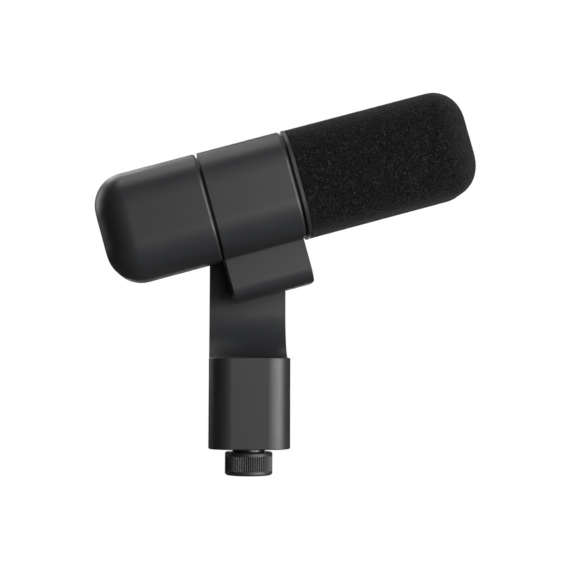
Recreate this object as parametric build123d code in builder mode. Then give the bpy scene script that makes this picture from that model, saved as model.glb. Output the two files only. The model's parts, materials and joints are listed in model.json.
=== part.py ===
from build123d import *
from math import cos, pi, radians, sin
import os

# Broadcast condenser microphone on a swivelling stem.
#
# Frame: millimetres, +Z up, origin at the mouth of the stand thread under the knurled collar.
# +X points the way the front of the head points, +Y to the side that carries the arm.
# The head has its own frame: x along its axis towards the front, y across to the arm's side, z up,
# with its origin on the tilt axis. It rests tilted nose-up by head_tilt.

# ------------------------------------------------------------------ driving dimensions: head
head_tilt = 15.5          # rest angle of the head above level
head_side = 62.0          # rounded-square section, across the flats
head_corner = 21.5        # corner radius of that section
end_round = 18.5          # rounding of the rear cap's end
rear_length = 86.8        # tilt axis to the rear end
front_length = 129.2      # tilt axis to the front of the foam
band_length = 47.0        # ribbon bracket and middle band, centred on the tilt axis
rear_seam = 1.1           # open joint between rear cap and band
band_nose = 1.0           # band past the front edge of the ribbon bracket
front_seam = 1.1          # open joint between band and front ring
ring_length = 2.3         # visible front ring
cap_wall = 2.0
band_wall = 2.5
chassis_wall = 2.0
chassis_rear = 72.0       # tilt axis to the chassis's rear mouth
slip_fit = 0.10           # gap per side between shells that slide together
run_fit = 0.05            # radial gap of a turning or sliding fit
soft_gap = 0.30           # gap beside a soft piece

# ------------------------------------------------------------------ driving dimensions: foam and basket
foam_wall = 8.0
foam_nose = 12.0          # foam in front of the basket
foam_round = 17.5         # rounding of the foam's front end
basket_wall = 1.2
basket_seat = 4.0         # depth of the basket in the front ring
grip_length = 7.0         # plastic grip ring in the foam's mouth
grip_wall = 2.0

# ------------------------------------------------------------------ driving dimensions: stem
collar_diameter = 27.0
collar_height = 13.0
neck_diameter = 18.4
neck_height = 2.3
column_side = 45.9
column_corner = 12.5
column_height = 50.9
column_wall = 2.5
head_clearance = 11.0     # head's side to the arm's inner face
arm_bend = 28.5           # inner radius of the bend from column top to arm
arm_thickness = 6.0
pivot_height = 157.9      # stand thread mouth to the tilt axis

# ------------------------------------------------------------------ driving dimensions: ribbon bracket
ribbon_thickness = 4.2
ribbon_face = -2.9        # head y of the bracket's front face
ribbon_drop = 24.9        # head's underside to the bracket's underside
ribbon_bend = 9.3         # outer radius of both bends
ribbon_gap = 2.25         # head's side to the bracket's far leg

# ------------------------------------------------------------------ driving dimensions: fittings
stand_bore_radius = 4.76      # 3/8 inch stand thread
adapter_radius = 7.94         # 5/8 inch collar thread
adapter_length = 8.5
spindle_radius = 6.0
pivot_radius = 6.0
pivot_bore_radius = 3.0
lead_radius = 0.7
xlr_bore_radius = 8.3
xlr_pin_radius = 1.2
xlr_pin_circle = 4.6
board_thickness = 1.6

# ------------------------------------------------------------------ derived sizes
half_band = band_length / 2
half_side = head_side / 2
arm_offset = half_side + head_clearance
band_inner = head_side - 2 * band_wall
band_inner_corner = head_corner - band_wall
chassis_side = band_inner - 2 * slip_fit
chassis_corner = band_inner_corner - slip_fit
chassis_inner = chassis_side - 2 * chassis_wall
chassis_inner_corner = chassis_corner - chassis_wall
cap_inner = head_side - 2 * cap_wall
band_front = half_band + band_nose
ring_back = band_front + front_seam
ring_front = ring_back + ring_length
foam_back = ring_front + soft_gap
basket_side = head_side - 2 * foam_wall - 2 * soft_gap
basket_corner = head_corner - foam_wall - soft_gap
basket_front = front_length - foam_nose - soft_gap
basket_inner = basket_side - 2 * basket_wall
basket_inner_corner = basket_corner - basket_wall
column_base = collar_height + neck_height
column_top = column_base + column_height
half_column = column_side / 2
cavity_side = column_side - 2 * column_wall
cavity_corner = column_corner - column_wall
cavity_top = column_top - arm_thickness
arm_outer = arm_offset + arm_thickness
bend_centre_y = arm_offset - arm_bend
bend_centre_z = column_top + arm_bend
ribbon_leg = half_side + ribbon_gap
ribbon_leg_outer = ribbon_leg + ribbon_thickness
ribbon_floor = -half_side - ribbon_drop

# ------------------------------------------------------------------ frames
head = Plane(
    origin=(0, 0, pivot_height),
    x_dir=(cos(radians(head_tilt)), 0, sin(radians(head_tilt))),
    z_dir=(-sin(radians(head_tilt)), 0, cos(radians(head_tilt))),
)
stand = Plane.XY
nose_axis = Axis(head.origin, head.x_dir)
depth_axis = Axis(head.origin, head.y_dir)

os.makedirs("parts", exist_ok=True)


def across(frame, x, y=0, z=0):
    """Plane square to a frame's x axis: its own x is the frame's y, its own y the frame's z."""
    return Plane(origin=frame.from_local_coords((x, y, z)), x_dir=frame.y_dir, z_dir=frame.x_dir)


def beside(frame, y, x=0, z=0):
    """Plane square to a frame's y axis: its own x and y are the frame's x and z, it faces -y."""
    return Plane(origin=frame.from_local_coords((x, y, z)), x_dir=frame.x_dir, z_dir=-frame.y_dir)


def over(frame, z, x=0, y=0):
    """Plane square to a frame's z axis, facing up."""
    return Plane(origin=frame.from_local_coords((x, y, z)), x_dir=frame.x_dir, z_dir=frame.z_dir)


def bar(start, end, side, corner, mode=Mode.ADD):
    """Rounded-square bar along the head's axis between two stations."""
    with BuildSketch(across(head, start)) as outline:
        RectangleRounded(side, side, corner)
    extrude(outline.sketch, amount=end - start, mode=mode)


def block(frame, x_span, y_span, z_span, mode=Mode.ADD):
    """Square-edged block between pairs of coordinates of a frame."""
    centre = ((x_span[0] + x_span[1]) / 2, (y_span[0] + y_span[1]) / 2)
    with BuildSketch(over(frame, z_span[0], *centre)) as outline:
        Rectangle(x_span[1] - x_span[0], y_span[1] - y_span[0])
    extrude(outline.sketch, amount=z_span[1] - z_span[0], mode=mode)


def disc(plane, radius, length, mode=Mode.ADD):
    """Round bar grown from a plane along its normal."""
    with BuildSketch(plane) as outline:
        Circle(radius)
    extrude(outline.sketch, amount=length, mode=mode)


def cross_disc(x, z, y_span, radius, mode=Mode.ADD, frame=head):
    """Round bar along a frame's y axis between two depths."""
    disc(beside(frame, y_span[1], x, z), radius, y_span[1] - y_span[0], mode)


def save(piece, label):
    """Label a finished piece and write it out."""
    piece.part.label = label
    export_step(piece.part, "parts/" + label + ".step")


# ================================================================== stand collar (root)
collar_chamfer = 0.9
knurl_low = 2.3
knurl_high = collar_height - 2.2
knurl_count = 66
knurl_depth = 0.35
collar_roof = collar_height - 2.6     # underside of the collar's top wall
clip_radius = adapter_radius - 0.3

with BuildPart() as thread_collar:
    disc(over(stand, 0), collar_diameter / 2, collar_height)
    chamfer(thread_collar.edges().group_by(Axis.Z)[0], collar_chamfer)
    fillet(thread_collar.edges().group_by(Axis.Z)[-1], collar_chamfer)
    disc(over(stand, 0), adapter_radius + run_fit, collar_roof, Mode.SUBTRACT)
    disc(over(stand, collar_roof), spindle_radius + run_fit, collar_height, Mode.SUBTRACT)
    with BuildSketch(over(stand, knurl_low)) as knurl_cut:
        with PolarLocations(collar_diameter / 2, knurl_count):
            Rectangle(2 * knurl_depth, 2 * knurl_depth, rotation=45)
    extrude(knurl_cut.sketch, amount=knurl_high - knurl_low, mode=Mode.SUBTRACT)
save(thread_collar, "thread_collar")

adapter_slot_width = 2.0
adapter_slot_depth = 1.4
with BuildPart() as thread_adapter:
    disc(over(stand, 0), adapter_radius, adapter_length)
    disc(over(stand, 0), stand_bore_radius, adapter_length, Mode.SUBTRACT)
    block(stand, (-adapter_radius, adapter_radius), (-adapter_slot_width / 2, adapter_slot_width / 2),
          (0, adapter_slot_depth), Mode.SUBTRACT)
save(thread_adapter, "thread_adapter")

thrust_thickness = 0.4
with BuildPart() as thrust_washer:
    disc(over(stand, collar_height), neck_diameter / 2 - 0.4, thrust_thickness)
    disc(over(stand, collar_height), spindle_radius + run_fit, thrust_thickness, Mode.SUBTRACT)
save(thrust_washer, "thrust_washer")

# ================================================================== column and arm
base_thickness = 3.0
base_top = column_base + base_thickness
screw_boss_place = cavity_side / 2 - cavity_corner * 0.5
screw_boss_radius = 3.6
screw_boss_height = 6.0
m3_radius = 1.5
column_edge = 0.6
recess_radius = 15.0
recess_depth = 2.0
bush_wall = 1.5
channel_width = 3.2
channel_floor = 2.4          # arm left under the lead's channel
cover_width = 14.0
cover_thickness = 1.1
cover_top = pivot_height - recess_radius - 4.0
outlet_rise = 23.4            # column's underside to the outlet's centre
xlr_height = column_base + outlet_rise
xlr_shell_wall = 1.2
xlr_flange_y = 20.2
xlr_flange_z = 29.0
xlr_screw_y = 7.0
xlr_screw_z = 12.3
outlet_screw_sink = 1.5       # counterbore of the outlet's two screws
outlet_screw_end = 1.0        # screw past the flange


def arm_slab(half_width, inner, outer, top, mode=Mode.ADD):
    """Strip of the bent arm, centred across it, between two depths of its thickness, up to a height."""
    inner_radius = arm_bend + inner
    outer_radius = arm_bend + outer
    inner_y = bend_centre_y + inner_radius
    outer_y = bend_centre_y + outer_radius
    low_inner = (bend_centre_y, bend_centre_z - inner_radius)
    low_outer = (bend_centre_y, bend_centre_z - outer_radius)
    with BuildSketch(across(stand, -half_width)) as outline:
        with BuildLine():
            CenterArc((bend_centre_y, bend_centre_z), inner_radius, -90, 90)
            Polyline((inner_y, bend_centre_z), (inner_y, top), (outer_y, top), (outer_y, bend_centre_z))
            CenterArc((bend_centre_y, bend_centre_z), outer_radius, -90, 90)
            Line(low_outer, low_inner)
        make_face()
    extrude(outline.sketch, amount=2 * half_width, mode=mode)


with BuildPart() as stem:
    with BuildSketch(over(stand, column_base)) as column_plan:
        RectangleRounded(column_side, column_side, column_corner)
    extrude(column_plan.sketch, amount=column_height)
    fillet(stem.edges().group_by(Axis.Z)[-1], column_edge)
    fillet(stem.edges().group_by(Axis.Z)[0], column_edge)
    arm_slab(half_column, 0, arm_thickness, pivot_height)
    cross_disc(0, pivot_height, (arm_offset, arm_outer), half_column, frame=stand)
    arm_rim = stem.edges().filter_by_position(
        Axis.Y, arm_outer - 0.01, arm_outer + 0.01).filter_by_position(Axis.Z, column_top, 2 * pivot_height)
    chamfer(arm_rim, column_edge)
    with BuildSketch(over(stand, column_base)) as cavity_plan:
        RectangleRounded(cavity_side, cavity_side, cavity_corner)
    extrude(cavity_plan.sketch, amount=cavity_top - column_base, mode=Mode.SUBTRACT)
    for boss_x in (-screw_boss_place, screw_boss_place):
        for boss_y in (-screw_boss_place, screw_boss_place):
            disc(over(stand, base_top, boss_x, boss_y), screw_boss_radius, screw_boss_height)
            disc(over(stand, base_top, boss_x, boss_y), m3_radius, screw_boss_height, Mode.SUBTRACT)
    arm_slab(channel_width / 2, channel_floor, arm_thickness + 1, pivot_height, Mode.SUBTRACT)
    block(stand, (-channel_width / 2, channel_width / 2), (-channel_width / 2, bend_centre_y),
          (cavity_top, column_top - channel_floor), Mode.SUBTRACT)
    arm_slab(cover_width / 2, arm_thickness - cover_thickness, arm_thickness + 1, cover_top, Mode.SUBTRACT)
    cross_disc(0, pivot_height, (arm_outer - recess_depth, arm_outer), recess_radius, Mode.SUBTRACT, stand)
    cross_disc(0, pivot_height, (arm_offset, arm_outer), pivot_radius + run_fit + bush_wall,
               Mode.SUBTRACT, stand)
    disc(across(stand, -half_column, 0, xlr_height), xlr_bore_radius + xlr_shell_wall + slip_fit,
         2 * column_wall, Mode.SUBTRACT)
    for side_sign in (-1, 1):
        screw_plane = across(stand, -half_column, side_sign * xlr_screw_y, xlr_height + side_sign * xlr_screw_z)
        disc(screw_plane, m3_radius, 2 * column_wall, Mode.SUBTRACT)
        disc(screw_plane, 2 * m3_radius, outlet_screw_sink, Mode.SUBTRACT)
save(stem, "stem")

# ------------------------------------------------------------------ base plate, spindle and its clip
spindle_flange_radius = 10.0
spindle_flange_height = 3.0
clip_thickness = 1.0
clip_groove = 0.8
clip_top = collar_roof - run_fit
spindle_end = clip_top - clip_thickness - 0.5
spindle_screw_circle = 8.0
m2_radius = 1.0
screw_head_radius = 1.8       # head of an M2 screw
screw_head_height = 1.0
screw_slot_width = 0.45
screw_slot_depth = 0.5
socket_depth = 1.0            # hex recess of a countersunk M3 screw, made round
socket_radius = 0.8
head_gap = 0.1                # screw head to the side of its counterbore
head_set = 0.2                # screw head below the face
base_side = cavity_side - 2 * slip_fit
base_corner = cavity_corner - slip_fit

with BuildPart() as base_plate:
    with BuildSketch(over(stand, column_base)) as base_plan:
        RectangleRounded(base_side, base_side, base_corner)
    extrude(base_plan.sketch, amount=base_thickness)
    disc(over(stand, collar_height + thrust_thickness), neck_diameter / 2, neck_height - thrust_thickness)
    disc(over(stand, collar_height), spindle_radius, column_height, Mode.SUBTRACT)
    for boss_x in (-screw_boss_place, screw_boss_place):
        for boss_y in (-screw_boss_place, screw_boss_place):
            disc(over(stand, column_base, boss_x, boss_y), m3_radius, base_thickness, Mode.SUBTRACT)
            disc(over(stand, column_base, boss_x, boss_y), 2 * m3_radius, base_thickness / 2, Mode.SUBTRACT)
    with BuildSketch(over(stand, column_base)) as spindle_screw_plan:
        with PolarLocations(spindle_screw_circle, 3):
            Circle(m2_radius)
    extrude(spindle_screw_plan.sketch, amount=base_thickness, mode=Mode.SUBTRACT)
save(base_plate, "base_plate")

with BuildPart() as spindle:
    disc(over(stand, spindle_end), spindle_radius, base_top - spindle_end)
    disc(over(stand, base_top), spindle_flange_radius, spindle_flange_height)
    disc(over(stand, clip_top - clip_thickness), spindle_radius, clip_thickness, Mode.SUBTRACT)
    disc(over(stand, clip_top - clip_thickness), spindle_radius - clip_groove, clip_thickness)
    chamfer(spindle.edges().group_by(Axis.Z)[0], 0.4)
    with BuildSketch(over(stand, base_top)) as flange_holes:
        with PolarLocations(spindle_screw_circle, 3):
            Circle(m2_radius)
    extrude(flange_holes.sketch, amount=spindle_flange_height, mode=Mode.SUBTRACT)
save(spindle, "spindle")

with BuildPart() as spindle_clip:
    disc(over(stand, clip_top - clip_thickness), clip_radius, clip_thickness)
    disc(over(stand, clip_top - clip_thickness), spindle_radius - clip_groove, clip_thickness, Mode.SUBTRACT)
    block(stand, (0, adapter_radius), (-clip_groove - spindle_radius / 2, spindle_radius / 2 + clip_groove),
          (clip_top - clip_thickness, clip_top), Mode.SUBTRACT)
save(spindle_clip, "spindle_clip")

with BuildPart() as spindle_screws:
    with PolarLocations(spindle_screw_circle, 3) as screw_places:
        for place in screw_places.locations:
            screw_x = place.position.X
            screw_y = place.position.Y
            flange_top = base_top + spindle_flange_height
            disc(over(stand, column_base, screw_x, screw_y), m2_radius, base_thickness + spindle_flange_height)
            disc(over(stand, flange_top, screw_x, screw_y), screw_head_radius, screw_head_height)
            block(stand, (screw_x - m2_radius, screw_x + m2_radius),
                  (screw_y - screw_slot_width / 2, screw_y + screw_slot_width / 2),
                  (flange_top + screw_head_height - screw_slot_depth, column_top), Mode.SUBTRACT)
save(spindle_screws, "spindle_screws")

base_screw_length = base_thickness + screw_boss_height - 1.0
with BuildPart() as base_screws:
    for boss_x in (-screw_boss_place, screw_boss_place):
        for boss_y in (-screw_boss_place, screw_boss_place):
            screw_foot = over(stand, column_base + head_set, boss_x, boss_y)
            disc(screw_foot, 2 * m3_radius - head_gap, base_thickness / 2 - head_set)
            disc(screw_foot, m3_radius, base_screw_length - head_set)
            disc(screw_foot, socket_radius, socket_depth, Mode.SUBTRACT)
save(base_screws, "base_screws")

# ------------------------------------------------------------------ arm's lead cover
cover_gap = 0.1
cover_screw_heights = (bend_centre_z + 8.0, cover_top - 6.0)
cover_screw_x = cover_width / 3
with BuildPart() as arm_cover:
    arm_slab(cover_width / 2 - cover_gap, arm_thickness - cover_thickness, arm_thickness,
             cover_top - cover_gap)
    with BuildSketch(over(stand, cavity_top - arm_bend)) as cover_trim:
        Rectangle(cover_width, 2 * (half_column + cover_gap))
    extrude(cover_trim.sketch, amount=2 * arm_bend, mode=Mode.SUBTRACT)
    for screw_z in cover_screw_heights:
        for screw_x in (-cover_screw_x, cover_screw_x):
            cross_disc(screw_x, screw_z, (arm_offset, arm_outer), m2_radius, Mode.SUBTRACT, stand)
save(arm_cover, "arm_cover")

with BuildPart() as cover_screws:
    for screw_z in cover_screw_heights:
        for screw_x in (-cover_screw_x, cover_screw_x):
            head_face = arm_outer + screw_head_height
            cross_disc(screw_x, screw_z, (arm_outer - cover_thickness, arm_outer), m2_radius, frame=stand)
            cross_disc(screw_x, screw_z, (arm_outer, head_face), screw_head_radius, frame=stand)
            block(stand, (screw_x - screw_head_radius, screw_x + screw_head_radius),
                  (head_face - screw_slot_depth, head_face),
                  (screw_z - screw_slot_width / 2, screw_z + screw_slot_width / 2), Mode.SUBTRACT)
save(cover_screws, "cover_screws")

# ------------------------------------------------------------------ three-pin outlet in the column's back
xlr_depth = 15.0
xlr_insulator_thickness = 5.0
xlr_mouth = -half_column
xlr_floor = xlr_mouth + xlr_depth
xlr_back = xlr_floor + xlr_insulator_thickness
flange_front = xlr_mouth + column_wall
flange_thickness = 2.0
output_board_x = xlr_back + 3.0       # pins stand off the board by this much
pin_angles = (25, 155, 270)

with BuildPart() as xlr_shell:
    disc(across(stand, xlr_mouth, 0, xlr_height), xlr_bore_radius + xlr_shell_wall, xlr_back - xlr_mouth)
    with BuildSketch(across(stand, flange_front, 0, xlr_height)) as flange_plan:
        RectangleRounded(xlr_flange_y, xlr_flange_z, 3.0)
    extrude(flange_plan.sketch, amount=flange_thickness)
    disc(across(stand, xlr_mouth, 0, xlr_height), xlr_bore_radius, xlr_back - xlr_mouth, Mode.SUBTRACT)
    for side_sign in (-1, 1):
        disc(across(stand, flange_front, side_sign * xlr_screw_y, xlr_height + side_sign * xlr_screw_z),
             m3_radius, flange_thickness, Mode.SUBTRACT)
save(xlr_shell, "xlr_shell")

with BuildPart() as xlr_insulator:
    disc(across(stand, xlr_floor, 0, xlr_height), xlr_bore_radius, xlr_insulator_thickness)
    for angle in pin_angles:
        disc(across(stand, xlr_floor, xlr_pin_circle * cos(radians(angle)),
                    xlr_height + xlr_pin_circle * sin(radians(angle))),
             xlr_pin_radius, xlr_insulator_thickness, Mode.SUBTRACT)
save(xlr_insulator, "xlr_insulator")

pin_reach = 12.5
with BuildPart() as xlr_contacts:
    for angle in pin_angles:
        disc(across(stand, xlr_floor - pin_reach, xlr_pin_circle * cos(radians(angle)),
                    xlr_height + xlr_pin_circle * sin(radians(angle))),
             xlr_pin_radius, output_board_x - xlr_floor + pin_reach)
    chamfer(xlr_contacts.edges().group_by(Axis.X)[0], 0.4)
save(xlr_contacts, "xlr_contacts")

with BuildPart() as xlr_screws:
    for side_sign in (-1, 1):
        screw_face = across(stand, xlr_mouth + head_set, side_sign * xlr_screw_y,
                            xlr_height + side_sign * xlr_screw_z)
        disc(screw_face, 2 * m3_radius - head_gap, outlet_screw_sink - head_set)
        disc(screw_face, m3_radius, column_wall + flange_thickness + outlet_screw_end)
        disc(screw_face, socket_radius, socket_depth, Mode.SUBTRACT)
save(xlr_screws, "xlr_screws")

output_board_side = 26.0
with BuildPart() as output_board:
    with BuildSketch(across(stand, output_board_x, 0, xlr_height)) as output_plan:
        RectangleRounded(output_board_side, output_board_side, 2.0)
    extrude(output_plan.sketch, amount=board_thickness)
save(output_board, "output_board")

choke_radius = 2.4
choke_length = 6.0
choke_pitch = 7.0
choke_drop = 4.0              # chokes below the outlet's centre
lead_plug_low = 3.0           # arm lead's plug, above the outlet's centre
lead_plug_top = 9.0
lead_plug_depth = 5.0
output_face = output_board_x + board_thickness
with BuildPart() as line_filters:
    for choke_y in (-choke_pitch, 0, choke_pitch):
        disc(across(stand, output_face, choke_y, xlr_height - choke_drop), choke_radius, choke_length)
        fillet(line_filters.edges().group_by(Axis.X)[-1], 0.5)
    block(stand, (output_face, output_face + lead_plug_depth), (-lead_plug_depth, lead_plug_depth),
          (xlr_height + lead_plug_low, xlr_height + lead_plug_top))
save(line_filters, "line_filters")

# ================================================================== tilt axis
joint_washer = 1.0
washer_radius = 12.0
bolt_head_thickness = 1.9
spring_thickness = 1.2
nut_thickness = 3.2
nut_flats = 16.0
cap_height = 9.0
cap_radius = 17.0
cap_shell = 1.5
recess_floor = arm_outer - recess_depth
spring_start = recess_floor + joint_washer
nut_start = spring_start + spring_thickness
bolt_end = nut_start + nut_thickness + 0.5
boss_end = arm_offset - joint_washer

with BuildPart() as pivot_bush:
    cross_disc(0, pivot_height, (arm_offset, recess_floor), pivot_radius + run_fit + bush_wall, frame=stand)
    cross_disc(0, pivot_height, (arm_offset, recess_floor), pivot_radius + run_fit, Mode.SUBTRACT, stand)
save(pivot_bush, "pivot_bush")

with BuildPart() as inner_washer:
    cross_disc(0, pivot_height, (boss_end, arm_offset), washer_radius, frame=stand)
    cross_disc(0, pivot_height, (boss_end, arm_offset), pivot_radius + run_fit, Mode.SUBTRACT, stand)
save(inner_washer, "inner_washer")

with BuildPart() as outer_washer:
    cross_disc(0, pivot_height, (recess_floor, spring_start), washer_radius, frame=stand)
    cross_disc(0, pivot_height, (recess_floor, spring_start), pivot_radius + run_fit, Mode.SUBTRACT, stand)
save(outer_washer, "outer_washer")

cap_top = arm_outer + cap_height
with BuildPart() as pivot_cap:
    cross_disc(0, pivot_height, (arm_outer, cap_top), cap_radius, frame=stand)
    fillet(pivot_cap.edges().group_by(Axis.Y)[-1], 1.4)
    cross_disc(0, pivot_height, (arm_outer, cap_top - cap_shell), recess_radius, Mode.SUBTRACT, stand)
save(pivot_cap, "pivot_cap")

with BuildPart() as pivot_bolt:
    cross_disc(0, 0, (ribbon_leg - bolt_head_thickness, ribbon_leg), 1.5 * pivot_radius)
    cross_disc(0, 0, (ribbon_leg, bolt_end), pivot_radius)
    chamfer(pivot_bolt.edges().group_by(depth_axis)[-1], 0.4)
    cross_disc(0, 0, (ribbon_leg - bolt_head_thickness, bolt_end), pivot_bore_radius, Mode.SUBTRACT)
save(pivot_bolt, "pivot_bolt")

with BuildPart() as spring_washer:
    cross_disc(0, 0, (spring_start, nut_start), washer_radius - 1.5)
    chamfer(spring_washer.edges().group_by(depth_axis)[-1], spring_thickness * 0.6)
    cross_disc(0, 0, (spring_start, nut_start), pivot_radius, Mode.SUBTRACT)
save(spring_washer, "spring_washer")

with BuildPart() as pivot_nut:
    with BuildSketch(beside(head, nut_start + nut_thickness)) as nut_plan:
        RegularPolygon(nut_flats / 2, 6, major_radius=False)
        Circle(pivot_radius, mode=Mode.SUBTRACT)
    extrude(nut_plan.sketch, amount=nut_thickness)
save(pivot_nut, "pivot_nut")

# ================================================================== ribbon bracket
tongue_width = 28.0
tongue_top = -15.5
ribbon_edge = 0.5
yoke_screw_x = 8.0
yoke_screw_z = -20.5
with BuildPart() as ribbon_bracket:
    with BuildSketch(across(head, -half_band)) as ribbon_section:
        with BuildLine():
            FilletPolyline((ribbon_face, -half_side), (ribbon_face, ribbon_floor),
                           (ribbon_leg_outer, ribbon_floor), (ribbon_leg_outer, 0), radius=ribbon_bend)
            Line((ribbon_leg_outer, 0), (ribbon_leg, 0))
            FilletPolyline((ribbon_leg, 0), (ribbon_leg, ribbon_floor + ribbon_thickness),
                           (ribbon_face + ribbon_thickness, ribbon_floor + ribbon_thickness),
                           (ribbon_face + ribbon_thickness, -half_side),
                           radius=ribbon_bend - ribbon_thickness)
            Line((ribbon_face + ribbon_thickness, -half_side), (ribbon_face, -half_side))
        make_face()
    extrude(ribbon_section.sketch, amount=band_length)
    cross_disc(0, 0, (ribbon_leg, ribbon_leg_outer), half_band)
    chamfer(ribbon_bracket.edges().filter_by(GeomType.LINE).filter_by_position(
        depth_axis, ribbon_face - 0.01, ribbon_face + 0.01).filter_by(
        Axis(head.origin, head.z_dir)), ribbon_edge)
    cross_disc(0, 0, (ribbon_leg_outer, boss_end), washer_radius)
    cross_disc(0, 0, (ribbon_leg, boss_end), pivot_radius, Mode.SUBTRACT)
    block(head, (-tongue_width / 2, tongue_width / 2), (ribbon_face, ribbon_face + ribbon_thickness),
          (-half_side, tongue_top))
    for screw_sign in (-1, 1):
        cross_disc(screw_sign * yoke_screw_x, yoke_screw_z,
                   (ribbon_face, ribbon_face + ribbon_thickness), m3_radius, Mode.SUBTRACT)
save(ribbon_bracket, "ribbon_bracket")

yoke_half_length = 18.0
yoke_near = -9.0
yoke_far = 8.0
yoke_top = -14.0
yoke_head_radius = 2.75
yoke_head_height = 3.0
yoke_socket_radius = 1.3
chassis_floor = -chassis_inner / 2
with BuildPart() as yoke_block:
    block(head, (-yoke_half_length, yoke_half_length), (yoke_near, yoke_far), (chassis_floor, yoke_top))
    block(head, (-tongue_width / 2 - slip_fit, tongue_width / 2 + slip_fit),
          (ribbon_face, ribbon_face + ribbon_thickness), (chassis_floor, yoke_top), Mode.SUBTRACT)
    for screw_sign in (-1, 1):
        cross_disc(screw_sign * yoke_screw_x, yoke_screw_z, (yoke_near, yoke_far), m3_radius, Mode.SUBTRACT)
save(yoke_block, "yoke_block")

with BuildPart() as yoke_screws:
    for screw_sign in (-1, 1):
        screw_x = screw_sign * yoke_screw_x
        cross_disc(screw_x, yoke_screw_z, (yoke_near, yoke_far), m3_radius)
        cross_disc(screw_x, yoke_screw_z, (yoke_near - yoke_head_height, yoke_near), yoke_head_radius)
        cross_disc(screw_x, yoke_screw_z, (yoke_near - yoke_head_height, yoke_near - yoke_head_height / 2),
                   yoke_socket_radius, Mode.SUBTRACT)
save(yoke_screws, "yoke_screws")

# ================================================================== head: band, chassis, ring, cap
band_edge = 0.4
band_rim_round = 1.6          # rounding of the band's front rim
cap_rim_round = 1.7           # rounding of the rear cap's open rim
grommet_radius = 4.0
with BuildPart() as band:
    bar(-half_band, band_front, head_side, head_corner)
    chamfer(band.edges().group_by(nose_axis)[0], band_edge)
    fillet(band.edges().group_by(nose_axis)[-1], band_rim_round)
    bar(-half_band, band_front, band_inner, band_inner_corner, Mode.SUBTRACT)
    cross_disc(0, 0, (half_side - 2 * band_wall, half_side), grommet_radius, Mode.SUBTRACT)
    block(head, (-tongue_width / 2 - slip_fit, tongue_width / 2 + slip_fit),
          (ribbon_face, ribbon_face + ribbon_thickness), (-half_side, -half_side + 2 * band_wall),
          Mode.SUBTRACT)
save(band, "band")

with BuildPart() as chassis:
    bar(-chassis_rear, ring_back, chassis_side, chassis_corner)
    bar(-chassis_rear, ring_back, chassis_inner, chassis_inner_corner, Mode.SUBTRACT)
    cross_disc(0, 0, (chassis_side / 2 - 2 * chassis_wall, chassis_side / 2), grommet_radius, Mode.SUBTRACT)
    block(head, (-tongue_width / 2 - slip_fit, tongue_width / 2 + slip_fit),
          (ribbon_face, ribbon_face + ribbon_thickness), (-half_side, chassis_floor + chassis_wall),
          Mode.SUBTRACT)
save(chassis, "chassis")

chassis_inner_face = chassis_inner / 2
grommet_lip = 1.2
grommet_flange = grommet_radius + 0.6
grommet_bore = lead_radius + 0.2
with BuildPart() as lead_grommet:
    cross_disc(0, 0, (chassis_inner_face, half_side), grommet_radius)
    cross_disc(0, 0, (chassis_inner_face - grommet_lip, chassis_inner_face), grommet_flange)
    cross_disc(0, 0, (chassis_inner_face - grommet_lip, half_side), grommet_bore, Mode.SUBTRACT)
save(lead_grommet, "lead_grommet")

spigot_length = 6.0
ring_edge = 0.3
with BuildPart() as front_ring:
    bar(ring_back, ring_front, head_side, head_corner)
    ring_rims = front_ring.edges().group_by(nose_axis)
    chamfer(ring_rims[0] + ring_rims[-1], ring_edge)
    bar(ring_back - spigot_length, ring_back, chassis_inner - 2 * slip_fit, chassis_inner_corner - slip_fit)
    bar(ring_front - basket_seat, ring_front, basket_side, basket_corner, Mode.SUBTRACT)
    bar(ring_back - spigot_length, ring_front, basket_inner - 2.0, basket_inner_corner - 1.0, Mode.SUBTRACT)
save(front_ring, "front_ring")

magnet_radius = 3.5
magnet_length = 3.0
magnet_cup_wall = 1.0
magnet_y = 19.0
panel_thickness = 2.5
strike_thickness = 1.0
magnet_gap = 0.1
boss_tip = -chassis_rear - strike_thickness - magnet_gap - magnet_length
cap_rear_inner = rear_length - cap_wall
with BuildPart() as cap_hollow:
    bar(-cap_rear_inner, -half_band, cap_inner, head_corner - cap_wall)
    fillet(cap_hollow.edges().group_by(nose_axis)[0], end_round - cap_wall)
    for magnet_sign in (-1, 1):
        disc(across(head, -rear_length, magnet_sign * magnet_y), magnet_radius + magnet_cup_wall,
             rear_length + boss_tip + magnet_length, Mode.SUBTRACT)
        disc(across(head, boss_tip, magnet_sign * magnet_y), magnet_radius, magnet_length)

with BuildPart() as rear_cap:
    bar(-rear_length, -half_band - rear_seam, head_side, head_corner)
    fillet(rear_cap.edges().group_by(nose_axis)[0], end_round)
    fillet(rear_cap.edges().group_by(nose_axis)[-1], cap_rim_round)
    add(cap_hollow.part, mode=Mode.SUBTRACT)
save(rear_cap, "rear_cap")

with BuildPart() as cap_magnets:
    for magnet_sign in (-1, 1):
        disc(across(head, boss_tip, magnet_sign * magnet_y), magnet_radius, magnet_length)
save(cap_magnets, "cap_magnets")

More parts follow.
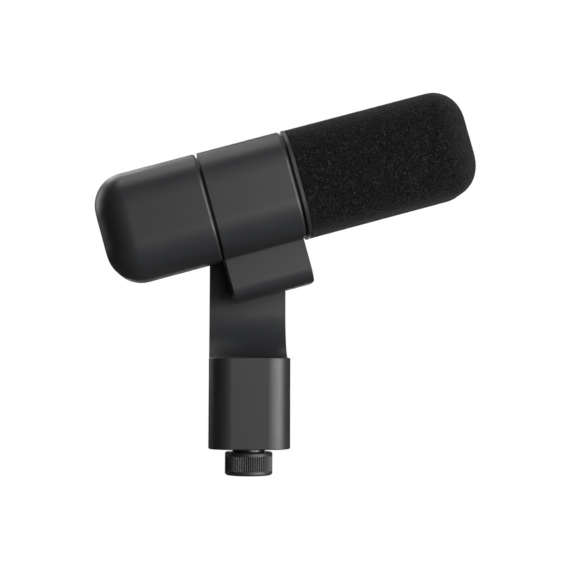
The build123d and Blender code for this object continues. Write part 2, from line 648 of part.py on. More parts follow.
rail_low = 4.8
rail_high = 9.4
rail_inner_y = 20.0
rail_slot = 2.0
rail_end = ring_back - spigot_length - 2.0
panel_inner = -chassis_rear + panel_thickness
panel_screw_y = (rail_inner_y + rail_slot + chassis_inner / 2) / 2
panel_screw_z = (rail_low + rail_high) / 2
switch_z = -4.0
switch_spread = 8.0
switch_travel = 2.5
lever_width = 3.0
lever_height = 3.0
lever_reach = 2.4
window_width = lever_width + switch_travel + 2 * soft_gap
window_height = lever_height + 2 * slip_fit
switch_case_depth = 5.0
switch_case_half_width = 5.5
switch_case_half_height = 3.2
with BuildPart() as switch_panel:
    bar(-chassis_rear, panel_inner, chassis_inner - 2 * slip_fit, chassis_inner_corner - slip_fit)
    for side_sign in (-1, 1):
        window_y = side_sign * switch_spread
        block(head, (-chassis_rear, panel_inner), (window_y - window_width / 2, window_y + window_width / 2),
              (switch_z - window_height / 2, switch_z + window_height / 2), Mode.SUBTRACT)
        disc(across(head, -chassis_rear, side_sign * panel_screw_y, panel_screw_z), m2_radius,
             panel_thickness, Mode.SUBTRACT)
save(switch_panel, "switch_panel")

with BuildPart() as strike_discs:
    for magnet_sign in (-1, 1):
        disc(across(head, -chassis_rear - strike_thickness, magnet_sign * magnet_y), magnet_radius,
             strike_thickness)
save(strike_discs, "strike_discs")

panel_screw_grip = 5.0        # length of a panel screw in its rail
with BuildPart() as panel_screws:
    for screw_sign in (-1, 1):
        screw_y = screw_sign * panel_screw_y
        head_start = -chassis_rear - screw_head_height
        disc(across(head, -chassis_rear, screw_y, panel_screw_z), m2_radius, panel_thickness + panel_screw_grip)
        disc(across(head, head_start, screw_y, panel_screw_z), screw_head_radius, screw_head_height)
        block(head, (head_start, head_start + screw_slot_depth),
              (screw_y - screw_head_radius, screw_y + screw_head_radius),
              (panel_screw_z - screw_slot_width / 2, panel_screw_z + screw_slot_width / 2), Mode.SUBTRACT)
save(panel_screws, "panel_screws")

with BuildPart() as switch_cases:
    for case_sign in (-1, 1):
        block(head, (panel_inner, panel_inner + switch_case_depth),
              (case_sign * switch_spread - switch_case_half_width,
               case_sign * switch_spread + switch_case_half_width),
              (switch_z - switch_case_half_height, switch_z + switch_case_half_height))
save(switch_cases, "switch_cases")


def slide_lever(case_sign):
    """Lever of a slide switch, at the -y end of its travel, standing out through the panel."""
    low_y = case_sign * switch_spread - window_width / 2 + soft_gap
    block(head, (-chassis_rear - lever_reach, panel_inner - run_fit), (low_y, low_y + lever_width),
          (switch_z - lever_height / 2, switch_z + lever_height / 2))


with BuildPart() as low_cut_switch:
    slide_lever(-1)
    fillet(low_cut_switch.edges().group_by(nose_axis)[0], 0.5)
save(low_cut_switch, "low_cut_switch")

with BuildPart() as pad_switch:
    slide_lever(1)
    fillet(pad_switch.edges().group_by(nose_axis)[0], 0.5)
save(pad_switch, "pad_switch")

# ================================================================== preamplifier
slot_height = board_thickness + 0.1
board_low = 7.0
board_width = 2 * (rail_inner_y + rail_slot) - 0.2
board_start = panel_inner + 8.0
with BuildPart() as board_rails:
    for rail_sign in (-1, 1):
        y_pair = sorted((rail_sign * rail_inner_y, rail_sign * chassis_inner / 2))
        slot_pair = sorted((rail_sign * rail_inner_y, rail_sign * (rail_inner_y + rail_slot)))
        block(head, (panel_inner, rail_end), y_pair, (rail_low, rail_high))
        block(head, (panel_inner, rail_end), slot_pair, (board_low, board_low + slot_height), Mode.SUBTRACT)
        disc(across(head, panel_inner, rail_sign * panel_screw_y, panel_screw_z), m2_radius,
             panel_screw_grip, Mode.SUBTRACT)
save(board_rails, "board_rails")

board_top = board_low + board_thickness
with BuildPart() as preamp_board:
    block(head, (board_start, rail_end), (-board_width / 2, board_width / 2), (board_low, board_top))
save(preamp_board, "preamp_board")

transformer_span = (-50.0, -28.0)
transformer_half_width = 9.0
transformer_height = 14.0
with BuildPart() as output_transformer:
    block(head, transformer_span, (-transformer_half_width, transformer_half_width),
          (board_top, board_top + transformer_height))
    fillet(output_transformer.edges().filter_by(Axis(head.origin, head.z_dir)), 1.0)
save(output_transformer, "output_transformer")

# each can: x, y, radius, height
cans = ((-18.0, -12.0, 3.1, 11.0), (-10.0, -12.0, 3.1, 11.0), (-18.0, 10.0, 2.5, 8.0), (-4.0, 10.0, 2.5, 8.0))
film_length = 4.0
film_height = 8.0
with BuildPart() as capacitors:
    for can_x, can_y, can_radius, can_height in cans:
        disc(over(head, board_top, can_x, can_y), can_radius, can_height)
    fillet(capacitors.edges().group_by(Axis(head.origin, head.z_dir))[-1], 0.5)
    for film_x in (2.0, 10.0):
        block(head, (film_x, film_x + film_length), (-14.0, -4.0), (board_top, board_top + film_height))
save(capacitors, "capacitors")

transistor_places = ((-11.0, 4.0), (-11.0, 12.0), (6.0, 5.0), (-57.0, -12.0), (-57.0, 12.0))
transistor_width = 4.5
transistor_depth = 3.5
transistor_height = 5.0
with BuildPart() as transistors:
    for case_x, case_y in transistor_places:
        block(head, (case_x, case_x + transistor_width), (case_y, case_y + transistor_depth),
              (board_top, board_top + transistor_height))
save(transistors, "transistors")

plug_low = -1.0
socket_lead_y = 6.0
plug_span = (-38.0, -31.0)
capsule_socket_end = 15.0
with BuildPart() as board_sockets:
    block(head, plug_span, (socket_lead_y - 4.0, socket_lead_y + 4.0), (plug_low, board_low))
    block(head, (capsule_socket_end - 6.0, capsule_socket_end), (-3.5, 3.5), (board_low - 5.0, board_low))
    fillet(board_sockets.edges().filter_by(Axis(head.origin, head.x_dir)), 0.5)
save(board_sockets, "board_sockets")

# ================================================================== leads
meeting_y = recess_floor
lead_run_y = arm_offset + channel_floor + lead_radius + 0.1
loop_y = cap_top - cap_shell - lead_radius - 0.6
loop_bend = 4.3
loop_start = recess_radius - 0.8
loop_top = 8.1
lead_centre_radius = lead_run_y - bend_centre_y
lead_ceiling = bend_centre_z - lead_centre_radius
lead_landing_x = output_face + lead_plug_depth / 2
output_plug_top = xlr_height + lead_plug_top


def run_lead(label, points, radii):
    """Round lead swept along straight runs joined by arcs."""
    with BuildPart() as lead:
        with BuildLine() as route:
            FilletPolyline(*points, radius=radii)
        path = route.wire()
        with BuildSketch(Plane(origin=path @ 0, z_dir=path % 0)) as section:
            Circle(lead_radius)
        sweep(section.sketch, path=path)
    print(label, "length", round(path.length, 1), "bends", radii,
          "volume ratio", round(lead.part.volume / (path.length * pi * lead_radius ** 2), 4))
    save(lead, label)


run_lead("arm_lead", (
    (lead_landing_x, 0, output_plug_top),
    (lead_landing_x, 0, cavity_top - 4.0),
    (0, 0, cavity_top - 2.0),
    (0, bend_centre_y / 2, lead_ceiling),
    (0, lead_run_y, lead_ceiling),
    (0, lead_run_y, pivot_height - loop_start),
    (0, loop_y, pivot_height - loop_top),
    (0, loop_y, pivot_height),
    (0, meeting_y, pivot_height),
), (4.0, 3.0, 5.0, lead_centre_radius, 5.0, 4.5, loop_bend))

run_lead("head_lead", [head.from_local_coords(point) for point in (
    (0, meeting_y, 0),
    (0, 16.0, 0),
    (-16.0, socket_lead_y, 1.5),
    (plug_span[1] + 6.0, socket_lead_y, 3.0),
    (plug_span[1], socket_lead_y, 3.0),
)], (10.0, 10.0, 10.0))

# ================================================================== basket, foam and grip ring
basket_round = foam_round - foam_wall
slot_width = 2.6
slot_length = 11.0
slot_pitch_x = 14.5
slot_pitch_y = 4.6
slot_count_x = 5
slot_count_y = 5
basket_back = ring_front - basket_seat
slots_centre = (ring_front + grip_length + basket_front - basket_round) / 2
with BuildPart() as basket_hollow:
    bar(basket_back, basket_front - basket_wall, basket_inner, basket_inner_corner)
    fillet(basket_hollow.edges().group_by(nose_axis)[-1], basket_round - basket_wall)

with BuildPart() as basket:
    bar(basket_back, basket_front, basket_side, basket_corner)
    fillet(basket.edges().group_by(nose_axis)[-1], basket_round)
    add(basket_hollow.part, mode=Mode.SUBTRACT)
    for slot_plane in (beside(head, half_side, slots_centre), over(head, -half_side, slots_centre)):
        with BuildSketch(slot_plane) as slots:
            with GridLocations(slot_pitch_x, slot_pitch_y, slot_count_x, slot_count_y):
                SlotOverall(slot_length, slot_width)
        extrude(slots.sketch, amount=head_side, mode=Mode.SUBTRACT)
    with BuildSketch(across(head, basket_front - 2 * basket_wall)) as nose_slots:
        with GridLocations(0, slot_pitch_y, 1, slot_count_y):
            SlotOverall(2 * slot_length, slot_width)
    extrude(nose_slots.sketch, amount=4 * basket_wall, mode=Mode.SUBTRACT)
save(basket, "basket")

with BuildPart() as foam_hollow:
    bar(foam_back, basket_front + soft_gap, basket_side + 2 * soft_gap, basket_corner + soft_gap)
    fillet(foam_hollow.edges().group_by(nose_axis)[-1], basket_round)
    bar(foam_back, foam_back + grip_length, basket_side + 2 * run_fit + 2 * grip_wall,
        basket_corner + run_fit + grip_wall)

with BuildPart() as windscreen_foam:
    bar(foam_back, front_length, head_side, head_corner)
    fillet(windscreen_foam.edges().group_by(nose_axis)[-1], foam_round)
    add(foam_hollow.part, mode=Mode.SUBTRACT)
save(windscreen_foam, "windscreen_foam")

with BuildPart() as grip_ring:
    bar(foam_back, foam_back + grip_length, basket_side + 2 * run_fit + 2 * grip_wall,
        basket_corner + run_fit + grip_wall)
    bar(foam_back, foam_back + grip_length, basket_side + 2 * run_fit, basket_corner + run_fit,
        Mode.SUBTRACT)
save(grip_ring, "grip_ring")

# ================================================================== capsule and its mounting
capsule_radius = 17.0
capsule_length = 13.0
capsule_front = basket_front - 2 * basket_round
capsule_back = capsule_front - capsule_length
capsule_wall = 1.5
mount_plate = 3.0
mount_height = 8.0
mount_circle = 13.0
mount_radius = 3.0
frame_plate = 2.5
frame_tube_radius = 9.0
frame_tube_wall = 1.5
lead_hole_radius = 2.0
mount_top = basket_back + mount_plate + mount_height
frame_top = mount_top + frame_plate
backplate_radius = 14.0
backplate_seat = 2.0          # width of the ledge that the backplate sits on
backplate_hole_pitch = 3.6
backplate_hole_radius = 0.6
backplate_thickness = 3.0
diaphragm_thickness = 0.2
clamp_thickness = 1.4
capsule_cup = 2.0
insulator_back = capsule_back + capsule_cup
diaphragm_back = capsule_front - clamp_thickness - diaphragm_thickness

with BuildPart() as capsule_base:
    bar(basket_back, basket_back + mount_plate, basket_inner - 2 * slip_fit, basket_inner_corner - slip_fit)
    disc(across(head, basket_back), lead_hole_radius, mount_plate, Mode.SUBTRACT)
save(capsule_base, "capsule_base")

with BuildPart() as shock_mounts:
    with BuildSketch(across(head, basket_back + mount_plate)) as mount_plan:
        with PolarLocations(mount_circle, 3, 90):
            Circle(mount_radius)
    extrude(mount_plan.sketch, amount=mount_height)
    with BuildSketch(across(head, basket_back + mount_plate + mount_height * 0.35)) as waist_plan:
        with PolarLocations(mount_circle, 3, 90):
            Circle(mount_radius)
            Circle(mount_radius * 0.75, mode=Mode.SUBTRACT)
    extrude(waist_plan.sketch, amount=mount_height * 0.3, mode=Mode.SUBTRACT)
save(shock_mounts, "shock_mounts")

with BuildPart() as capsule_frame:
    disc(across(head, mount_top), capsule_radius, frame_plate)
    disc(across(head, frame_top), frame_tube_radius, capsule_back - frame_top)
    disc(across(head, frame_top), frame_tube_radius - frame_tube_wall, capsule_back - frame_top,
         Mode.SUBTRACT)
    disc(across(head, mount_top), lead_hole_radius, frame_plate, Mode.SUBTRACT)
save(capsule_frame, "capsule_frame")

with BuildPart() as capsule_housing:
    disc(across(head, capsule_back), capsule_radius, capsule_length)
    fillet(capsule_housing.edges().group_by(nose_axis)[0], 1.0)
    disc(across(head, insulator_back), capsule_radius - capsule_wall, capsule_length, Mode.SUBTRACT)
save(capsule_housing, "capsule_housing")

backplate_gap = 0.1           # air gap behind the diaphragm
backplate_back = diaphragm_back - backplate_thickness - backplate_gap
with BuildPart() as backplate_insulator:
    disc(across(head, insulator_back), capsule_radius - capsule_wall, diaphragm_back - insulator_back)
    disc(across(head, backplate_back), backplate_radius, capsule_length, Mode.SUBTRACT)
    disc(across(head, insulator_back), backplate_radius - backplate_seat, capsule_length, Mode.SUBTRACT)
save(backplate_insulator, "backplate_insulator")

with BuildPart() as backplate:
    disc(across(head, backplate_back), backplate_radius, backplate_thickness)
    with BuildSketch(across(head, backplate_back)) as backplate_holes:
        for hole_ring in (1, 2, 3):
            with PolarLocations(backplate_hole_pitch * hole_ring, 6 * hole_ring):
                Circle(backplate_hole_radius)
    extrude(backplate_holes.sketch, amount=backplate_thickness, mode=Mode.SUBTRACT)
save(backplate, "backplate")

with BuildPart() as diaphragm:
    disc(across(head, diaphragm_back), capsule_radius - capsule_wall, diaphragm_thickness)
save(diaphragm, "diaphragm")

clamp_lip = 1.0               # clamp ring inside the backplate's edge
clamp_screw_circle = (backplate_radius + capsule_radius - capsule_wall) / 2
clamp_screw_radius = 0.7
with BuildPart() as clamp_ring:
    disc(across(head, capsule_front - clamp_thickness), capsule_radius - capsule_wall, clamp_thickness)
    disc(across(head, capsule_front - clamp_thickness), backplate_radius - clamp_lip, clamp_thickness,
         Mode.SUBTRACT)
save(clamp_ring, "clamp_ring")

with BuildPart() as clamp_screws:
    with BuildSketch(across(head, capsule_front)) as screw_plan:
        with PolarLocations(clamp_screw_circle, 8):
            Circle(clamp_screw_radius)
    extrude(screw_plan.sketch, amount=clamp_screw_radius)
    fillet(clamp_screws.edges().group_by(nose_axis)[-1], 0.3)
save(clamp_screws, "clamp_screws")

run_lead("capsule_lead", [head.from_local_coords(point) for point in (
    (capsule_back, 0, 0),
    (basket_back - 1.0, 0, 0),
    (capsule_socket_end + 4.5, 0, board_low - 2.5),
    (capsule_socket_end, 0, board_low - 2.5),
)], (4.0, 4.0))
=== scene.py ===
import json
import math

import bpy
import numpy as np
from mathutils import Matrix, Vector, noise


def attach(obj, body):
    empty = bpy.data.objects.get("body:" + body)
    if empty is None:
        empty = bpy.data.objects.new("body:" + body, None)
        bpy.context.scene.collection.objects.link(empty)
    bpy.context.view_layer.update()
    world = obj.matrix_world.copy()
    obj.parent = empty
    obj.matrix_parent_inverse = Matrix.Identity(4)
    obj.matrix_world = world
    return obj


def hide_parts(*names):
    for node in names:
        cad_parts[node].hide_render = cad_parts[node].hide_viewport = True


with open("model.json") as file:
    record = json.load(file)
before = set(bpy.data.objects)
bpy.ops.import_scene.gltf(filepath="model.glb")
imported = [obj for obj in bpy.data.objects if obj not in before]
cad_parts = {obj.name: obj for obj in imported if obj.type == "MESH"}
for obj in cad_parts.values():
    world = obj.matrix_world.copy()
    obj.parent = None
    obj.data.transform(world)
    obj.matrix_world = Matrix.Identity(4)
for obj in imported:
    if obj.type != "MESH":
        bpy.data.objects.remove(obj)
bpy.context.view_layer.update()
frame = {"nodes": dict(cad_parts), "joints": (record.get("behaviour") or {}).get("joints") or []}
NODES = frame["nodes"]
MM = 0.001

# ------------------------------------------------------------------ the head's own frame
tilt_joint = next(j for j in frame["joints"] if j["name"] == "head_tilt")
pull_joint = next(j for j in frame["joints"] if j["name"] == "windscreen_pull")
NOSE = Vector(pull_joint["axis"]).normalized()
SIDE = Vector((0, 1, 0))
CROWN = NOSE.cross(SIDE)
PIVOT = Vector((0, 0, tilt_joint["pos_m"][2]))
HEAD = Matrix((NOSE, SIDE, CROWN)).transposed().to_4x4()
HEAD.translation = PIVOT
HEAD_INVERSE = HEAD.inverted()


def head_box(node):
    """Lowest and highest corner of a CAD node in the head's frame, in metres."""
    points = np.array([(HEAD_INVERSE @ v.co)[:] for v in NODES[node].data.vertices])
    return points.min(0), points.max(0)


# ------------------------------------------------------------------ material helpers
class Shade:
    """A material's node tree with short calls for the nodes that the finishes use."""

    def __init__(self, name):
        self.material = bpy.data.materials.new(name)
        self.material.use_nodes = True
        self.tree = self.material.node_tree
        self.bsdf = self.tree.nodes["Principled BSDF"]
        self.coords = self.tree.nodes.new("ShaderNodeTexCoord").outputs["Object"]

    def link(self, out, socket):
        self.tree.links.new(out, socket)

    def turned(self, matrix=None, scale=(1, 1, 1)):
        """Object coordinates turned into another frame and stretched."""
        node = self.tree.nodes.new("ShaderNodeMapping")
        node.vector_type = "TEXTURE"
        if matrix is not None:
            node.inputs["Location"].default_value = matrix.translation
            node.inputs["Rotation"].default_value = matrix.to_euler()
        node.inputs["Scale"].default_value = [1 / s for s in scale]
        self.link(self.coords, node.inputs["Vector"])
        return node.outputs["Vector"]

    def noise(self, scale, detail=2.0, rough=0.5, vector=None, distortion=0.0):
        node = self.tree.nodes.new("ShaderNodeTexNoise")
        node.inputs["Scale"].default_value = scale
        node.inputs["Detail"].default_value = detail
        node.inputs["Roughness"].default_value = rough
        node.inputs["Distortion"].default_value = distortion
        self.link(vector or self.coords, node.inputs["Vector"])
        return node.outputs["Fac"]

    def cells(self, scale, feature="F1", vector=None, randomness=1.0):
        node = self.tree.nodes.new("ShaderNodeTexVoronoi")
        node.feature = feature
        node.inputs["Scale"].default_value = scale
        node.inputs["Randomness"].default_value = randomness
        self.link(vector or self.coords, node.inputs["Vector"])
        return node.outputs["Distance"]

    def ramp(self, source, stops):
        """Colour ramp; each stop is a place from 0 to 1 and a grey or a colour."""
        node = self.tree.nodes.new("ShaderNodeValToRGB")
        elements = node.color_ramp.elements
        while len(elements) < len(stops):
            elements.new(0.5)
        for element, (place, colour) in zip(elements, stops):
            element.position = place
            rgb = (colour,) * 3 if isinstance(colour, (int, float)) else colour
            element.color = (*rgb, 1)
        self.link(source, node.inputs["Fac"])
        return node.outputs["Color"]

    def spread(self, source, low, high, start=0.0, end=1.0):
        """A value between two limits that follows a source."""
        node = self.tree.nodes.new("ShaderNodeMapRange")
        for socket, value in zip(("From Min", "From Max", "To Min", "To Max"), (start, end, low, high)):
            node.inputs[socket].default_value = value
        self.link(source, node.inputs["Value"])
        return node.outputs["Result"]

    def maths(self, operation, first, second):
        node = self.tree.nodes.new("ShaderNodeMath")
        node.operation = operation
        for socket, value in zip(node.inputs, (first, second)):
            if isinstance(value, (int, float)):
                socket.default_value = value
            else:
                self.link(value, socket)
        return node.outputs["Value"]

    def mix(self, amount, first, second):
        node = self.tree.nodes.new("ShaderNodeMix")
        node.data_type = "RGBA"
        sockets = [node.inputs[0], node.inputs[6], node.inputs[7]]
        for socket, value in zip(sockets, (amount, first, second)):
            if isinstance(value, (int, float)):
                socket.default_value = value
            elif isinstance(value, (tuple, list)):
                socket.default_value = (*value, 1)
            else:
                self.link(value, socket)
        return node.outputs[2]

    def edge(self, radius=0.0006):
        """0 on flat ground and towards 1 along sharp edges."""
        bevel = self.tree.nodes.new("ShaderNodeBevel")
        bevel.samples = 4
        bevel.inputs["Radius"].default_value = radius
        geometry = self.tree.nodes.new("ShaderNodeNewGeometry")
        dot = self.tree.nodes.new("ShaderNodeVectorMath")
        dot.operation = "DOT_PRODUCT"
        self.link(bevel.outputs["Normal"], dot.inputs[0])
        self.link(geometry.outputs["Normal"], dot.inputs[1])
        return self.spread(dot.outputs["Value"], 0.0, 1.0, 0.995, 0.8)

    def bump(self, *layers):
        """Stacked bumps; each layer is a height source, a depth in metres and a strength."""
        normal = None
        for source, depth, strength in layers:
            node = self.tree.nodes.new("ShaderNodeBump")
            node.inputs["Distance"].default_value = depth
            node.inputs["Strength"].default_value = strength
            self.link(source, node.inputs["Height"])
            if normal is not None:
                self.link(normal, node.inputs["Normal"])
            normal = node.outputs["Normal"]
        self.link(normal, self.bsdf.inputs["Normal"])

    def set(self, **values):
        for name, value in values.items():
            socket = self.bsdf.inputs[name.replace("_", " ").title().replace("Ior", "IOR")]
            if isinstance(value, (int, float)):
                socket.default_value = value
            elif isinstance(value, (tuple, list)):
                socket.default_value = (*value, 1) if len(value) == 3 else value
            else:
                self.link(value, socket)


# ------------------------------------------------------------------ finishes
def satin_paint(name, tone, rough, grain=1.0):
    """Sprayed satin graphite paint: a fine orange peel, slight drift of tone and a painted highlight along
    the edges.
    """
    s = Shade(name)
    drift = s.noise(28, 3, 0.55)
    speck = s.noise(5200, 2, 0.6)
    base = s.ramp(drift, [(0.3, tuple(c * 0.95 for c in tone)), (0.7, tuple(c * 1.05 for c in tone))])
    flecked = s.mix(s.spread(speck, 0.0, 0.5, 0.45, 0.8), base, tuple(c * 1.5 for c in tone))
    # the paler edges are a painted highlight
    painted_edge_highlight = s.mix(s.maths("MULTIPLY", s.edge(0.0005), 0.35), flecked, tuple(c * 2.0 for c in tone))
    smudge = s.noise(60, 4, 0.6, distortion=0.4)
    s.set(base_color=painted_edge_highlight, metallic=0.0, ior=1.5,
          roughness=s.maths("ADD", s.spread(smudge, rough - 0.03, rough + 0.03, 0.3, 0.7),
                            s.spread(speck, -0.03, 0.03, 0.3, 0.7)))
    s.bump((s.noise(3400, 2, 0.5), 0.000012 * grain, 0.35), (s.noise(900, 2, 0.5), 0.00002 * grain, 0.2))
    return s.material


def anodised(name, tone, rough, metallic=0.35, painted_edge_highlight=0.5, drawn=0.15):
    """Dyed anodised aluminium with fine machining marks and a painted highlight along the edges."""
    s = Shade(name)
    fine = s.noise(4200, 2, 0.6)
    marks = s.noise(1100, 2, 0.6, vector=s.turned(scale=(1, 1, 0.12)))
    tinted = s.ramp(marks, [(0.3, tuple(c * (1 - drawn) for c in tone)),
                            (0.7, tuple(c * (1 + drawn) for c in tone))])
    # the paler edges are a painted highlight
    painted_highlight = s.mix(s.maths("MULTIPLY", s.edge(0.0003), painted_edge_highlight), tinted, tuple(c * 2.6 for c in tone))
    s.set(base_color=painted_highlight, metallic=metallic,
          roughness=s.spread(fine, rough - 0.04, rough + 0.05, 0.3, 0.7))
    s.bump((marks, 0.00004 * drawn, 0.25), (fine, 0.00002 * drawn, 0.3))
    return s.material


def gloss_paint(name, tone):
    """Smooth gloss paint with a faint ripple and dust."""
    s = Shade(name)
    ripple = s.noise(420, 2, 0.5)
    dust = s.noise(5200, 1, 0.5)
    s.set(base_color=s.ramp(dust, [(0.45, tone), (0.8, tuple(c * 1.6 for c in tone))]),
          roughness=s.spread(s.noise(120, 3, 0.6), 0.24, 0.32, 0.3, 0.7))
    s.bump((ripple, 0.00001, 0.25))
    return s.material


def metal(name, tone, rough, brushed=(1, 1, 12), matrix=None, stain=0.12):
    """Bare turned or brushed metal with drawn-out scratches and slight tarnish."""
    s = Shade(name)
    drawn = s.noise(2600, 3, 0.65, vector=s.turned(matrix, brushed))
    tarnish = s.noise(260, 4, 0.6, distortion=0.6)
    base = s.ramp(tarnish, [(0.35, tuple(c * (1 - stain) for c in tone)), (0.65, tone)])
    dark = s.mix(s.spread(drawn, 0.0, 0.35, 0.5, 0.85), base, tuple(c * 0.72 for c in tone))
    s.set(base_color=dark, metallic=1.0,
          roughness=s.maths("ADD", s.spread(drawn, rough - 0.06, rough + 0.08, 0.3, 0.7),
                            s.spread(tarnish, 0.0, 0.08, 0.4, 0.7)))
    s.bump((drawn, 0.000012, 0.4))
    return s.material


def plastic(name, tone, rough, spark=2200, depth=0.00002, lift=1.35):
    """Moulded plastic with a spark-eroded grain and a painted highlight along the edges."""
    s = Shade(name)
    grain = s.cells(spark)
    drift = s.noise(70, 3, 0.6)
    base = s.ramp(drift, [(0.3, tone), (0.7, tuple(min(1, c * lift) for c in tone))])
    # the paler edges are a painted highlight
    edges = s.maths("MULTIPLY", s.edge(0.0003), 0.4)
    s.set(base_color=s.mix(edges, base, tuple(min(1, c * 1.9) for c in tone)),
          roughness=s.spread(grain, rough - 0.06, rough + 0.08, 0.1, 0.7))
    s.bump((grain, depth, 0.4), (s.noise(500, 2, 0.5), 0.00002, 0.15))
    return s.material


def rubber(name, tone):
    """Matt rubber with a dusty bloom."""
    s = Shade(name)
    bloom = s.noise(320, 4, 0.65)
    s.set(base_color=s.ramp(bloom, [(0.35, tone), (0.75, tuple(c * 2.2 for c in tone))]),
          roughness=s.spread(bloom, 0.62, 0.85, 0.3, 0.7))
    s.bump((s.noise(3000, 2, 0.6), 0.00002, 0.5))
    return s.material


def circuit(name, along, solder_mask=(0.012, 0.075, 0.035)):
    """Green solder mask over copper tracks and pads."""
    s = Shade(name)
    flat = s.turned(along)
    tracks = s.tree.nodes.new("ShaderNodeTexBrick")
    tracks.inputs["Scale"].default_value = 300
    tracks.inputs["Mortar Size"].default_value = 0.12
    tracks.inputs["Mortar Smooth"].default_value = 0.1
    tracks.offset = 0.37
    s.link(flat, tracks.inputs["Vector"])
    pads = s.cells(380, vector=flat, randomness=0.45)
    over_copper = tuple(c * 2.1 for c in solder_mask)
    masked = s.mix(tracks.outputs["Fac"], solder_mask, over_copper)
    dotted = s.mix(s.spread(pads, 1.0, 0.0, 0.1, 0.13), masked, (0.62, 0.60, 0.56))
    s.set(base_color=dotted, roughness=s.spread(pads, 0.3, 0.42, 0.1, 0.4),
          metallic=s.spread(pads, 0.9, 0.0, 0.1, 0.13), coat_weight=0.25, coat_roughness=0.15)
    s.bump((tracks.outputs["Fac"], 0.00003, 0.5))
    return s.material


def sleeve(name):
    """Capacitors: dark sleeves with a printed pale stripe."""
    s = Shade(name)
    speck = s.noise(900, 3, 0.6)
    base = s.ramp(speck, [(0.3, (0.018, 0.022, 0.05)), (0.7, (0.03, 0.036, 0.075))])
    stripe = s.cells(140, vector=s.turned(HEAD, (1, 1, 0.05)), randomness=0.6)
    s.set(base_color=s.mix(s.spread(stripe, 1.0, 0.0, 0.16, 0.2), base, (0.55, 0.55, 0.57)),
          roughness=s.spread(speck, 0.25, 0.38, 0.3, 0.7), coat_weight=0.2)
    s.bump((s.noise(1200, 2, 0.5), 0.00002, 0.2))
    return s.material


def film(name):
    """Gold-sputtered diaphragm: thin, faintly rippled and bright."""
    s = Shade(name)
    ripple = s.noise(260, 2, 0.5)
    s.set(base_color=s.ramp(ripple, [(0.35, (0.72, 0.52, 0.22)), (0.7, (0.85, 0.66, 0.32))]),
          metallic=1.0, roughness=s.spread(ripple, 0.12, 0.24, 0.3, 0.7))
    s.bump((ripple, 0.00004, 0.2))
    return s.material


# metres from the tilt axis at which the foam's painted highlight on the nose and crown starts and is full
PAINTED_LIGHT_NOSE = (0.108, 0.128)
PAINTED_LIGHT_CROWN = (0.014, 0.031)


def foam_look(name):
    """Open-cell foam: near-black strands over darker pores, and a painted highlight on the nose and crown.
    """
    s = Shade(name)
    curl = s.noise(820, 2, 0.7, distortion=1.6)
    fine = s.noise(2200, 2, 0.75)
    patch = s.noise(240, 3, 0.6)
    strands = s.maths("ADD", s.maths("MULTIPLY", curl, 0.65), s.maths("MULTIPLY", fine, 0.35))
    base = s.ramp(strands, [(0.40, 0.0012), (0.5, 0.0045), (0.58, 0.016), (0.68, 0.058)])
    dark = s.mix(s.spread(patch, 0.0, 0.4, 0.4, 0.72), base, (0.003, 0.003, 0.0033))
    along = s.tree.nodes.new("ShaderNodeSeparateXYZ")
    s.link(s.turned(HEAD), along.inputs[0])
    # the nose and crown are painted paler: a painted highlight where the light falls on them
    nose = s.spread(along.outputs["X"], 0.0, 1.0, *PAINTED_LIGHT_NOSE)
    crown = s.spread(along.outputs["Z"], 0.0, 1.0, *PAINTED_LIGHT_CROWN)
    painted_highlight = s.maths("MULTIPLY", s.maths("MAXIMUM", nose, crown), s.spread(fine, 0.15, 0.65, 0.35, 0.65))
    toned = s.mix(painted_highlight, dark, (0.023, 0.023, 0.0245))
    s.set(base_color=toned, roughness=0.95, specular_ior_level=0.08, sheen_weight=0.11, sheen_roughness=0.4,
          sheen_tint=(0.75, 0.77, 0.82))
    s.bump((curl, 0.0005, 0.8), (fine, 0.00025, 0.6))
    return s.material


GRAPHITE = (0.0205, 0.0213, 0.0228)
finishes = {
    "stem_paint": satin_paint("stem_paint", GRAPHITE, 0.41),
    "head_paint": satin_paint("head_paint", GRAPHITE, 0.42),
    "bracket_paint": satin_paint("bracket_paint", GRAPHITE, 0.42),
    "collar": anodised("collar_anodise", (0.024, 0.025, 0.027), 0.44, metallic=0.0, painted_edge_highlight=0.06, drawn=0.05),
    "anodise": anodised("shell_anodise", (0.022, 0.022, 0.024), 0.42),
    "neck": gloss_paint("neck_gloss", (0.012, 0.012, 0.013)),
    "steel": metal("zinc_steel", (0.60, 0.61, 0.63), 0.30),
    "black_steel": metal("black_steel", (0.045, 0.045, 0.05), 0.42),
    "basket": satin_paint("basket_powder", (0.014, 0.014, 0.015), 0.55, 2.0),
    "brass": metal("turned_brass", (0.71, 0.51, 0.22), 0.27),
    "gold": metal("gold_plate", (0.86, 0.62, 0.26), 0.2, stain=0.05),
    "nylon": plastic("nylon", (0.62, 0.60, 0.55), 0.5, lift=1.08),
    "black_plastic": plastic("black_plastic", (0.014, 0.014, 0.015), 0.5),
    "lever": plastic("lever_plastic", (0.55, 0.55, 0.56), 0.42, lift=1.08),
    "socket": plastic("socket_nylon", (0.70, 0.67, 0.60), 0.45, lift=1.06),
    "epoxy": plastic("moulded_epoxy", (0.018, 0.018, 0.02), 0.38),
    "rubber": rubber("black_rubber", (0.012, 0.012, 0.012)),
    "sheath": rubber("lead_sheath", (0.02, 0.02, 0.022)),
    "transformer": metal("transformer_can", (0.17, 0.17, 0.18), 0.36, matrix=HEAD, brushed=(12, 1, 1)),
    "magnet": metal("nickel", (0.62, 0.61, 0.58), 0.16, stain=0.04),
    "head_board": circuit("head_board", HEAD),
    "output_board": circuit("outlet_board", Matrix.Rotation(math.radians(90), 4, "Y")),
    "cans": sleeve("capacitor_sleeve"),
    "film": film("gold_film"),
    "foam": foam_look("open_cell_foam"),
}

